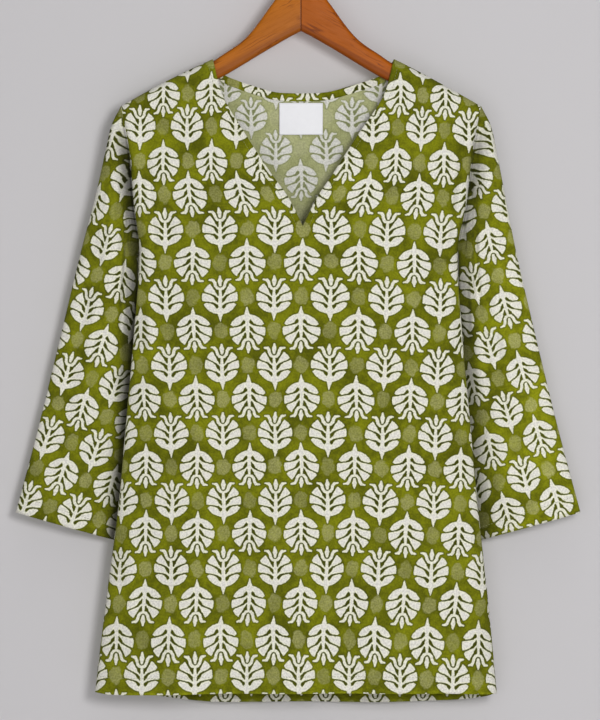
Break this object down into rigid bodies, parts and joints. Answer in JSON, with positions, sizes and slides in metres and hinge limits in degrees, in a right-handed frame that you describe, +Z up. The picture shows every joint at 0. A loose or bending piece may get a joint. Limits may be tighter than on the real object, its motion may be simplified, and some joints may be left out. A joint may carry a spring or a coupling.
{
  "type": "kurta tunic on a wooden hanger",
  "caption": "Straight V-neck cotton kurta tunic with three-quarter sleeves and an allover leaf block print, hanging flat on a wooden hanger with a wire hook.",
  "frame": {"origin": "inside top of the hanger's hook, where a rail carries it", "axes": "+Z up, +Y towards the garment's back, +X towards the viewer's right when facing the front"},
  "size_m": [0.6768, 0.0727, 0.943],
  "materials": {
    "printed_cotton": "plain-weave cotton, olive ground with off-white block-printed leaves, matte",
    "label_cloth": "smooth white woven tape, left bare",
    "varnished_wood": "orange-brown satin varnish",
    "steel_wire": "bright plated wire"
  },
  "bodies": {
    "root": {"front_panel": "printed_cotton", "back_panel": "printed_cotton", "sleeve_left": "printed_cotton", "sleeve_right": "printed_cotton", "back_neck_facing": "printed_cotton", "label": "label_cloth", "hanger_arm_left": "varnished_wood", "hanger_arm_right": "varnished_wood", "hanger_hook": "steel_wire"}
  },
  "joints": []
}
